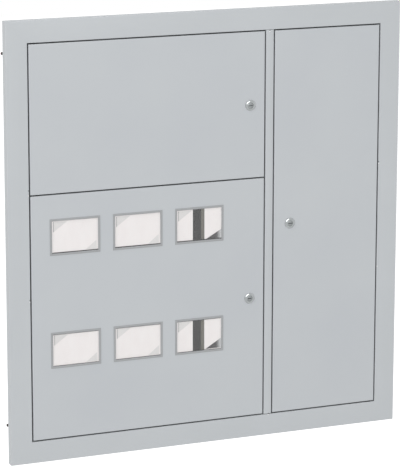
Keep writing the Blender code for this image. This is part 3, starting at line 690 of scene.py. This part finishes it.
# Painted shade: the spot welds' coat is darker than the casing's, for the shade of their dents
WELD_SHADE_COAT = powder_coat("powder_coat_painted_weld_shade", "#AAAEB1", "#B0B4B6")
PLATE_COAT = powder_coat("powder_coated_white_plate", "#D6D7D4", "#DDDDD9")
ZINC_STRIP = galvanised()
NICKEL = plated("nickel_plated_zinc_casting", "#A6AAAB", "#B0B4B5", 0.14, 0.20)
PLUG_METAL = plated("nickel_plated_brass_plug", "#9A9E9F", "#A4A8A9", 0.24, 0.34)
ZINC_BRIGHT = plated("zinc_plated_steel", "#8F9294", "#A4A7A8", 0.26, 0.38)
BLACK_ZINC = plated("black_passivated_steel", "#2E2F31", "#3C3D3F", 0.35, 0.48)
TIE_METAL = plated("dark_passivated_steel_rod", "#3A3632", "#504A44", 0.35, 0.5)
BRASS = plated("drawn_brass", "#B58B45", "#C9A25A", 0.25, 0.36)
RUBBER = seal_rubber()
ACRYLIC = clear_acrylic()
# Painted reflection: the white film is the panes' sheen band, the grey one the glass outside it
FILM_SHEEN = film("white_film_painted_sheen", "#F1ECEB", "#F3EFEE", 0.40)
FILM_GREY = film("grey_film_outside_painted_sheen", "#DCDAD9", "#E0DEDD", 0.45)
FILM_FOLD = film("folded_film_edge", "#8E9091", "#949697", 0.5)
# Painted shade: the dark, dim and corner films are the board's unlit inside, a darker face, a lighter face
# and a corner that lightens to the right
FILM_SHADE_DARK = film("dark_film_painted_shade", "#383838", "#3B3B3B", 0.5, 0.1)
FILM_SHADE_DIM = film("dim_film_painted_shade", "#6C6B64", "#716F68", 0.5, 0.1)
FILM_SHADE = shade_ramp_film("corner_film_painted_shade", "#515152", "#D6D8D9", *SHADE_RUN)
BLUE_PLASTIC = moulded("moulded_blue_polyamide", "#1F5FA8", "#2869B3")
# Painted highlight: the white dots beside the door gaps and at the post
HIGHLIGHT_WHITE = moulded("white_dots_painted_highlight", "#F2F2F0", "#F6F6F4")
GREEN_PLASTIC = moulded("moulded_green_polyamide", "#2E7D43", "#37894D")


# The board's own pieces

def build_frame():
    """The folded border in one piece round the board."""
    half = SHEET / 2
    corners = ((half, RIM_DEEP), (half, half), (BORDER - half, half), (BORDER - half, STOP_DEEP - half),
               (BORDER + LIP, STOP_DEEP - half))
    one, other = fold_sides(corners, SHEET)
    section = np.vstack((one, other[::-1]))
    shells = [shell(carried_round(section, FRAME_LOW, FRAME_HIGH), close_rows=True)]
    piece("folded_border", shells, "board", FRAME_COAT, ("front_frame",))


def lock_axis(key):
    """Centre of a lock, from its CAD barrel."""
    low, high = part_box("lock_body_" + key)
    return ((low.x + high.x) / 2, (low.z + high.z) / 2)


def pane_boxes():
    """Low and high corners of each pane's clear light, in order."""
    lights = []
    for number in range(1, 7):
        low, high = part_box("window_pane_%d" % number)
        lights.append(((low.x + PANE_HOLD, low.z + PANE_HOLD), (high.x - PANE_HOLD, high.z - PANE_HOLD)))
    return lights


def build_doors():
    """Three folded trays, the meter door with six window holes."""
    for key in ("upper", "meter", "service"):
        low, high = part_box(key + "_door")
        x, z = lock_axis(key)
        half = BARREL_R * 0.9
        holes = [(x - half, z - half, x + half, z + half)]
        if key == "meter":
            holes += [(a[0] - WINDOW_CUT, a[1] - WINDOW_CUT, b[0] + WINDOW_CUT, b[1] + WINDOW_CUT)
                      for a, b in pane_boxes()]
        shells = pierced_tray((low.x, low.z), (high.x, high.z), 0.0, DOOR_DEEP, SHEET, holes)
        piece(key + "_door_tray", shells, key + "_door", DOOR_COAT, (key + "_door",))


def build_locks():
    """Domed ring with its barrel, the plug with its key slot, nut, cam and cam screw.

    The key slot is a super ellipse: each half size times the cosine or sine of the turn, its sign
    kept and its size raised to 0.35. The square end is its half size over the larger of the two.
    """
    for key in ("upper", "meter", "service"):
        x, z = lock_axis(key)
        centre = (x, at(0), z)
        bore = PLUG_R + PLUG_ROOM
        start = math.asin((bore + RING_LIP - RING_DOME_OUT) / RING_DOME_R)
        end = math.asin((RING_R - RING_DOME_OUT) / RING_DOME_R)
        lean = np.linspace(start, end, 12)
        crown = np.column_stack((RING_DOME_OUT + RING_DOME_R * np.sin(lean),
                                 RING_DOME_R * (math.cos(start) - np.cos(lean)) - RING_PROUD))
        profile = np.vstack(((bore, BARREL_END), (bore, RING_LIP - RING_PROUD), crown, (BARREL_R, -SKIN),
                             (BARREL_R, BARREL_END)))
        loops = turned(profile, centre, "Y", LOCK_STEPS)
        piece("lock_ring_" + key, [shell(loops, close_rows=True)], key + "_door", NICKEL,
              ("lock_body_" + key,), sharp=40)
        turn = 2 * math.pi * np.arange(LOCK_STEPS) / LOCK_STEPS
        slot_x = KEY_SLOT_HALF[0] * np.sign(np.cos(turn)) * np.abs(np.cos(turn)) ** 0.35
        slot_z = KEY_SLOT_HALF[1] * np.sign(np.sin(turn)) * np.abs(np.sin(turn)) ** 0.35
        face = -PLUG_PROUD
        rows = [(slot_x, slot_z, face + KEY_SLOT_DEEP), (slot_x, slot_z, face + KEY_SLOT_EASE),
                (slot_x * 1.05, slot_z * 1.2, face)]
        for radius, depth in ((PLUG_R - PLUG_EASE, face), (PLUG_R - PLUG_EASE / 3, face + PLUG_EASE / 4),
                              (PLUG_R, face + PLUG_EASE), (PLUG_R, PLUG_END)):
            rows.append((radius * np.cos(turn), radius * np.sin(turn), depth))
        square = SQUARE_HALF / np.maximum(np.abs(np.cos(turn)), np.abs(np.sin(turn)))
        for depth in (PLUG_END, SQUARE_END):
            rows.append((square * np.cos(turn), square * np.sin(turn), depth))
        loops = np.array([np.column_stack((a + x, np.full(LOCK_STEPS, at(depth)), b + z))
                          for a, b, depth in rows])
        piece("lock_core_" + key, [shell(loops, caps=True)], key + "_cam", PLUG_METAL,
              ("lock_plug_" + key,), sharp=40)
        refined("lock_nut_" + key, key + "_door", ZINC_BRIGHT)
        refined("lock_cam_" + key, key + "_cam", ZINC_BRIGHT)
        refined("cam_screw_" + key, key + "_cam", ZINC_BRIGHT)


def build_windows():
    """Rubber section and clear pane of each window.

    The section's crown runs across half the lip times one minus the cosine of a half turn, and
    rises by its sine to the power 0.45, so it is nearly flat with round edges.
    """
    lip = np.linspace(0, math.pi, 7)
    half = SEAL_LIP / 2
    crown = np.column_stack((half - half * np.cos(lip), -SKIN - SEAL_FACE * np.sin(lip) ** 0.45))
    web = SEAL_LIP - PANE_HOLD - SKIN
    rear, back = SHEET + SKIN, SHEET + SEAL_BACK
    section = np.vstack((crown, (SEAL_LIP, -SKIN), (web, -SKIN), (web, rear), (SEAL_LIP, rear),
                         (SEAL_LIP, back), (0, back), (0, rear), (web - SEAL_WEB, rear),
                         (web - SEAL_WEB, -SKIN), (0, -SKIN)))
    for number, (low, high) in enumerate(pane_boxes(), start=1):
        out_low = (low[0] - SEAL_LIP, low[1] - SEAL_LIP)
        out_high = (high[0] + SEAL_LIP, high[1] + SEAL_LIP)
        shells = [shell(carried_round(section, out_low, out_high, SEAL_CORNER_R, 3), close_rows=True)]
        piece("window_rubber_%d" % number, shells, "meter_door", RUBBER,
              ("window_seal_%d" % number,), sharp=50)
        hold_low = (low[0] - PANE_HOLD, low[1] - PANE_HOLD)
        hold_high = (high[0] + PANE_HOLD, high[1] + PANE_HOLD)
        edge = round_rectangle(hold_low, hold_high, PANE_CORNER_R, 3)
        piece("window_sheet_%d" % number, slab(edge, 0, SHEET), "meter_door", ACRYLIC,
              ("window_pane_%d" % number,), crisp=0.0001)


def build_films():
    """Films behind the panes: a white sheet of painted reflection with two grey corners, slit in the right
    column.

    Each film is a flat outline worked out from its window's corners. The white sheet ends short
    of the light's foot, and in the lower row short of its head too, and a dark sheet of painted
    shade shows there. Where it is slit, a dark strip, a paler one and a dark corner show through:
    painted shade of the board's inside, with the corner lightening to the right.
    """
    white, grey, fold, dark, dim, shade = [], [], [], [], [], []
    reach = FILM_HOLD
    half = FOLD_WIDE / 2

    def lay(pile, level, *outline):
        """Add a film of this outline to a pile, so many steps behind the pane."""
        front = FILM_FRONT + level * FILM_STEP
        pile.extend(slab(outline, front, front + FILM_THICK))

    for number, (low, high) in enumerate(pane_boxes(), start=1):
        lower_row = number > 3
        left, bottom, right, top = low[0] - reach, low[1] - reach, high[0] + reach, high[1] + reach
        x, z = low[0] + FILM_INSET_X, high[1] - FILM_INSET_Z
        wide, tall = UPPER_CORNER
        lay(grey, 1, (x, z), (x + wide, z), (x, z - tall))
        lay(fold, 0, (x - half, z), (x + half, z), (x + half, z - tall), (x - half, z - tall))
        foot_gap, head_gap = FILM_GAPS[lower_row]
        foot, head = low[1] + foot_gap, top
        rise = foot + reach if number % 3 else foot
        lay(dark, 3, (left, bottom), (right, bottom), (right, rise), (left, foot + reach))
        if head_gap:
            head = high[1] - head_gap
            lay(dark, 3, (left, head - reach), (right, head - reach), (right, top), (left, top))
        if number % 3:
            lay(white, 2, (left, foot), (right, foot), (right, head), (left, head))
            x, z = high[0] - FILM_INSET_X, low[1] + FILM_INSET_Z
            wide, tall = LOWER_CORNER
            lay(grey, 1, (x, z), (x, z + tall), (x - wide, z))
            continue
        start = low[0] + SLIT_START
        step = start + SLIT_STEP
        end = start + SLIT_END
        wide, tall = DARK_CORNERS[lower_row]
        lay(white, 2, (left, foot), (start, foot), (start, head), (left, head))
        lay(white, 2, (end, foot), (right - wide, foot), (right, bottom + tall), (right, head), (end, head))
        lay(dark, 4, (start - reach, bottom), (step, bottom), (step, top), (start - reach, top))
        lay(dim, 4, (step, bottom), (end + reach, bottom), (end + reach, top), (step, top))
        lay(shade, 4, (right - wide - reach, bottom), (right, bottom), (right, bottom + tall + reach))
        if lower_row:
            rise = low[1] + FILM_FOOT
            lay(white, 2, (right - wide, foot), (right, foot), (right, rise), (right - wide, rise))
    # The white sheet is painted reflection; the grey corners lie outside it
    piece("window_painted_sheen", white, "meter_door", FILM_SHEEN)
    piece("window_corners_outside_sheen", grey, "meter_door", FILM_GREY)
    piece("window_film_folds", fold, "meter_door", FILM_FOLD)
    # Painted shade of the board's inside: the dark strip, the lighter strip and the dark corner
    piece("window_strip_painted_shade", dark, "meter_door", FILM_SHADE_DARK)
    piece("window_strip_painted_half_shade", dim, "meter_door", FILM_SHADE_DIM)
    piece("window_corner_painted_shade", shade, "meter_door", FILM_SHADE)


def build_shade_and_highlight_dots():
    """Dots beside the gaps and at the post's ends: dark ones of painted shade, white ones of painted
    highlight.
    """
    low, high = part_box("door_post")
    middle = (low.x + high.x) / 2
    top_x = middle + POST_TOP_X
    foot_x = middle + POST_FOOT_X
    left = -INNER_X - END_IN_LEFT
    right = INNER_X + END_IN_RIGHT
    dark = [(left, z) for z in LEFT_SHADE_DOT_Z] + [(right, z) for z in RIGHT_SHADE_DOT_Z]
    dark += [(top_x, high.z - POST_TOP_SHADE_DOT), (foot_x, low.z + POST_SHORT + POST_FOOT_SHADE_DOT)]
    white = [(left, z) for z in LEFT_HIGHLIGHT_DOT_Z] + [(right, z) for z in RIGHT_HIGHLIGHT_DOT_Z]
    white += [(top_x, high.z - POST_TOP_HIGHLIGHT_DOT), (foot_x, low.z - POST_FOOT_HIGHLIGHT_DOT)]
    # Painted shade in the dark dots and painted highlight in the white ones
    lay_domes("painted_shade_dots", dark, SHADE_DOT_R, BLACK_ZINC)
    lay_domes("painted_highlight_dots", white, HIGHLIGHT_DOT_R, HIGHLIGHT_WHITE)


def lay_domes(name, spots, radius, finish):
    """Low domes that stand proud of the front plane: a quarter ellipse turned round each spot."""
    profile = np.vstack(((radius, END_DEEP), dome(radius, END_HIGH)))
    shells = [shell(turned(profile, (x, at(0), z)), caps=True) for x, z in spots]
    piece(name, shells, "board", finish, sharp=50)


def build_carried_nodes():
    """Finishes of the CAD nodes that stay, and eased copies of the small ones."""
    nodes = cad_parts
    coats = {"casing": CASE_COAT, "top_plate": CASE_COAT, "bottom_plate": CASE_COAT,
             "compartment_wall": CASE_COAT, "meter_shelf": CASE_COAT, "service_plate": PLATE_COAT,
             "meter_plate_1": PLATE_COAT, "meter_plate_2": PLATE_COAT, "meter_plate_3": PLATE_COAT}
    for name, coat in coats.items():
        slots = nodes[name].data.materials
        slots.clear()
        slots.append(coat)
    post = refined("door_post", "board", FRAME_COAT, crisp=0.0)
    points = np.empty(len(post.data.vertices) * 3)
    post.data.vertices.foreach_get("co", points)
    rise = points[2::3]
    rise[rise < rise.min() + POST_SHORT / 2] += POST_SHORT
    post.data.vertices.foreach_set("co", points)
    for name in ("rail_upright_left", "rail_upright_right", "din_rail_low", "din_rail_high"):
        refined(name, "board", ZINC_STRIP)
    for name in ("hinge_bracket", "hinge_pin_upper", "hinge_pin_meter", "hinge_pin_centre",
                 "hinge_pin_service_top", "hinge_pin_service_bottom"):
        refined(name, "board", BLACK_ZINC)
    for name, slot, finish in (("neutral_holder", "blue_plastic", BLUE_PLASTIC),
                               ("earth_holder", "green_plastic", GREEN_PLASTIC),
                               ("neutral_bar", "brass", BRASS), ("earth_bar", "brass", BRASS)):
        refined(name, "board", finish)


def build_ties():
    """Wall ties: a round head inside the casing and a threaded rod that ends in the wall."""
    for end in ("low", "high"):
        for key, side in (("left", -1), ("right", 1)):
            name = "wall_tie_%s_%s" % (key, end)
            low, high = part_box(name)
            inner, outer = (high.x, low.x) if side < 0 else (low.x, high.x)
            head_r = (high.z - low.z) / 2
            centre = (0, (low.y + high.y) / 2, (low.z + high.z) / 2)
            neck = inner + side * TIE_HEAD
            head = np.array(((head_r * 0.8, inner), (head_r * 0.97, inner + side * TIE_EASE),
                             (head_r, inner + side * TIE_ROUND), (head_r, neck)))
            start = neck - side * TIE_EASE
            shells = [shell(turned(head, centre, "X", 40), caps=True),
                      thread(TIE_R, TIE_PITCH, TIE_PITCH * 0.45, start, outer, centre, "X")]
            piece(name + "_threaded", shells, "board", TIE_METAL, (name,), sharp=50)


def build_screws():
    """Pan heads with a cross recess: on the rails, their uprights, the plates and the terminal bars."""
    rails, clamps = [], []
    for upright in ("rail_upright_left", "rail_upright_right"):
        low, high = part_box(upright)
        for rail in ("din_rail_low", "din_rail_high"):
            rail_low, rail_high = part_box(rail)
            spot = (high.x - UPRIGHT_FLANGE / 2, rail_high.y - RAIL_T, (rail_low.z + rail_high.z) / 2)
            rails.append(screw_head(SCREW_R, SCREW_RISE, spot))
        x, y = low.x + UPRIGHT_FLANGE / 2, high.y - UPRIGHT_T
        for z in (low.z + PLATE_SCREW_IN, high.z - PLATE_SCREW_IN):
            rails.append(screw_head(SCREW_R, SCREW_RISE, (x, y, z)))
    for plate in ("meter_plate_1", "meter_plate_2", "meter_plate_3", "service_plate"):
        low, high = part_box(plate)
        for x in (low.x + PLATE_SCREW_IN, high.x - PLATE_SCREW_IN):
            for z in (low.z + PLATE_SCREW_IN, high.z - PLATE_SCREW_IN):
                rails.append(screw_head(SCREW_R, SCREW_RISE, (x, low.y, z)))
    for bar in ("neutral_bar", "earth_bar"):
        low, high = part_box(bar)
        step = (high.z - low.z) / BAR_HOLES
        for number in range(BAR_HOLES):
            spot = ((low.x + high.x) / 2, low.y + CLAMP_RISE, low.z + (number + 0.5) * step)
            clamps.append(screw_head(CLAMP_R, CLAMP_RISE, spot, 32))
    piece("fixing_screws", rails, "board", ZINC_BRIGHT, sharp=40)
    piece("terminal_screws", clamps, "board", ZINC_BRIGHT, sharp=40)


def build_studs():
    """An earth stud with washer and nut on each door, near its hinges."""
    for key, side in (("upper", -1), ("meter", -1), ("service", 1)):
        low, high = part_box(key + "_door")
        x = low.x + STUD_IN if side < 0 else high.x - STUD_IN
        shells = earth_stud(x, low.z + STUD_IN, SHEET)
        piece("earth_stud_" + key, shells, key + "_door", ZINC_BRIGHT, sharp=40)


def weld_line(start, end):
    """Even places along a seam, about one weld step apart and short of its ends."""
    count = round((end - start - 2 * WELD_END) / WELD_STEP) + 1
    return np.linspace(start + WELD_END, end - WELD_END, count)


def build_welds():
    """Spot welds on the casing's back and sides: a low ring and its dent, turned round each spot."""
    ring = np.array(((WELD_R, -SHEET / 4), (WELD_R, WELD_RISE * 0.3), (WELD_R * 0.8, WELD_RISE),
                     (WELD_R * 0.5, WELD_RISE * 0.3), (WELD_R * 0.1, WELD_RISE * 0.1)))
    case_low, case_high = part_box("casing")
    low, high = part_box("compartment_wall")
    spots = [((low.x + high.x) / 2, case_high.y, z) for z in weld_line(low.z, high.z)]
    low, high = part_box("meter_shelf")
    spots += [(x, case_high.y, (low.z + high.z) / 2) for x in weld_line(low.x, high.x)]
    shells = [shell(turned(ring, spot, "Y", 20), caps=True) for spot in spots]
    for name, inwards in (("top_plate", -1), ("bottom_plate", 1)):
        low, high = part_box(name)
        level = (high.z if inwards < 0 else low.z) + inwards * END_FLANGE / 2
        for x, side in ((case_low.x, -1), (case_high.x, 1)):
            for y in np.linspace(low.y + WELD_END / 2, high.y - WELD_END / 2, 3):
                shells.append(shell(turned(ring * (1, side), (x, y, level), "X", 20), caps=True))
    # The welds take the darker coat: painted shade of their dents
    piece("spot_welds", shells, "board", WELD_SHADE_COAT, sharp=50)


# Camera, light and backdrop

def placed(side, up, back, place):
    """Matrix of an object with these three axes that stands at a place."""
    return Matrix(np.column_stack((side, up, back, place)).tolist() + [[0, 0, 0, 1]])


def build_camera():
    """Camera on a line from the front plane's centre, turned by its azimuth, height and roll.

    The photograph is a crop, so its lens axis lies off the picture's centre: the shift is that
    distance over the picture's long side.
    """
    azimuth, height, roll = (math.radians(angle) for angle in (VIEW_AZIMUTH, VIEW_HEIGHT, VIEW_ROLL))
    level = math.cos(height)
    back = np.array((math.sin(azimuth) * level, -math.cos(azimuth) * level, math.sin(height)))
    right = np.cross(-back, (0, 0, 1))
    right /= np.linalg.norm(right)
    up = np.cross(right, -back)
    right, up = math.cos(roll) * right + math.sin(roll) * up, math.cos(roll) * up - math.sin(roll) * right
    place = np.array((0, -BOARD_D, 0)) + back * VIEW_DISTANCE + right * VIEW_SHIFT[0] + up * VIEW_SHIFT[1]
    data = bpy.data.cameras.new("camera")
    data.sensor_width = SENSOR_MM
    data.lens = FOCAL_PIXELS * SENSOR_MM / IMAGE_LONG
    data.shift_x = -VIEW_AXIS[0] / IMAGE_LONG
    data.shift_y = VIEW_AXIS[1] / IMAGE_LONG
    data.clip_start, data.clip_end = VIEW_RANGE
    camera = bpy.data.objects.new("camera", data)
    camera.matrix_world = placed(right, up, back, place)
    bpy.context.scene.collection.objects.link(camera)
    bpy.context.scene.camera = camera


def build_world():
    """White to the eye and to reflections, and an even plain light otherwise."""
    world = bpy.data.worlds.new("studio")
    bpy.context.scene.world = world
    world.use_nodes = True
    tree = world.node_tree
    tree.nodes.clear()
    light = add(tree, "ShaderNodeBackground", {"Color": WHITE, "Strength": WORLD_LIGHT})
    white = add(tree, "ShaderNodeBackground", {"Color": WHITE, "Strength": 1.0})
    seen = ray_is(tree, "Camera", "Glossy", "Transmission")
    mix = add(tree, "ShaderNodeMixShader", links={0: seen, 1: light.outputs[0], 2: white.outputs[0]})
    add(tree, "ShaderNodeOutputWorld", links={"Surface": mix.outputs[0]})


def build_floor():
    """A pale floor well below the board, which hangs in its wall at this height.

    The eye sees its shadows on white, and metal and glass mirror it as plain white. From below
    it hides nothing.
    """
    made, tree, shader = new_finish("pale_floor", Base_Color=linear("#F2F2F2"), Roughness=0.9)
    glow = add(tree, "ShaderNodeEmission", {"Color": WHITE, "Strength": FLOOR_GLOW})
    white = add(tree, "ShaderNodeEmission", {"Color": WHITE, "Strength": 1.0})
    both = add(tree, "ShaderNodeAddShader", links={0: shader.outputs[0], 1: glow.outputs[0]})
    under = add(tree, "ShaderNodeNewGeometry").outputs["Backfacing"]
    clear = add(tree, "ShaderNodeBsdfTransparent", {"Color": WHITE})
    view = add(tree, "ShaderNodeMixShader", links={0: under, 1: both.outputs[0], 2: clear.outputs[0]})
    seen = ray_is(tree, "Camera")
    direct = add(tree, "ShaderNodeMixShader", links={0: seen, 1: shader.outputs[0], 2: view.outputs[0]})
    mirrored = ray_is(tree, "Glossy", "Transmission")
    mix = add(tree, "ShaderNodeMixShader", links={0: mirrored, 1: direct.outputs[0], 2: white.outputs[0]})
    tree.links.new(mix.outputs[0], tree.nodes["Material Output"].inputs["Surface"])
    mesh = bpy.data.meshes.new("floor")
    corners = [(x * FLOOR_REACH, y * FLOOR_REACH, FLOOR_LEVEL)
               for x, y in ((-1, -1), (1, -1), (1, 1), (-1, 1))]
    mesh.from_pydata(corners, [], [(0, 1, 2, 3)])
    mesh.materials.append(made)
    floor = bpy.data.objects.new("floor", mesh)
    bpy.context.scene.collection.objects.link(floor)


def area_lamp(name, place, aim, long, wide, watts, roll):
    """A soft box that faces the point it is aimed at, with its long side turned by the roll."""
    roll = math.radians(roll)
    data = bpy.data.lights.new(name, "AREA")
    data.shape = "RECTANGLE"
    data.size = long
    data.size_y = wide
    data.energy = watts
    lamp = bpy.data.objects.new(name, data)
    away = np.array(place, float) - np.array(aim, float)
    away /= np.linalg.norm(away)
    side = np.cross((0, 0, 1), away)
    side /= np.linalg.norm(side)
    side = math.cos(roll) * side + math.sin(roll) * np.cross(away, side)
    lamp.matrix_world = placed(side, np.cross(away, side), away, place)
    bpy.context.scene.collection.objects.link(lamp)


def build_light():
    """The even world, a tilted soft box in front and above, one from the left above, and the floor."""
    build_world()
    for lamp in LAMPS:
        area_lamp(*lamp)
    build_floor()


build_camera()
build_light()
build_frame()
build_doors()
build_locks()
build_windows()
build_films()
build_shade_and_highlight_dots()
build_carried_nodes()
build_ties()
build_screws()
build_studs()
build_welds()
bpy.context.scene.view_settings.view_transform = "Standard"
